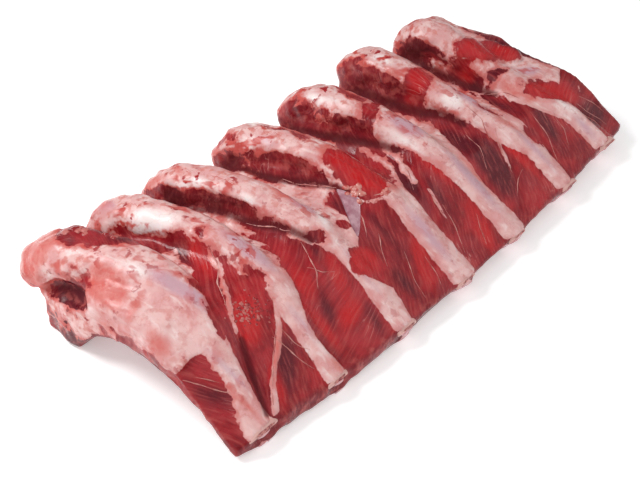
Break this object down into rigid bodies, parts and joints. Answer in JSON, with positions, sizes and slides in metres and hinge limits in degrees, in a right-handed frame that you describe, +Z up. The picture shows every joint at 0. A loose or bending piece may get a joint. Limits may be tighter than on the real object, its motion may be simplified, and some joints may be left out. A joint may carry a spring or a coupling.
{
  "type": "raw rack of beef back ribs",
  "caption": "Raw rack of beef back ribs: curved rib bones set in an arched slab of marbled red meat, lying on its rib tips and meaty foot.",
  "frame": {"origin": "under the middle of the rack's box, on the surface that it lies on", "axes": "+X along the rack from the broad first rib to the last, +Y along the ribs from the sawn tips to the knobs, +Z up"},
  "size_m": [0.4448, 0.2226, 0.0826],
  "materials": {
    "raw_meat": "moist raw beef: dark red fibres with white sinew and marbling, soft uneven gloss",
    "bone_and_fat": "pale pink rib bone under a wet skin of fat and membrane"
  },
  "bodies": {
    "root": {"meat": "raw_meat", "rib_1": "bone_and_fat", "rib_2": "bone_and_fat", "rib_3": "bone_and_fat", "rib_4": "bone_and_fat", "rib_5": "bone_and_fat", "rib_6": "bone_and_fat", "rib_7": "bone_and_fat"}
  },
  "joints": []
}
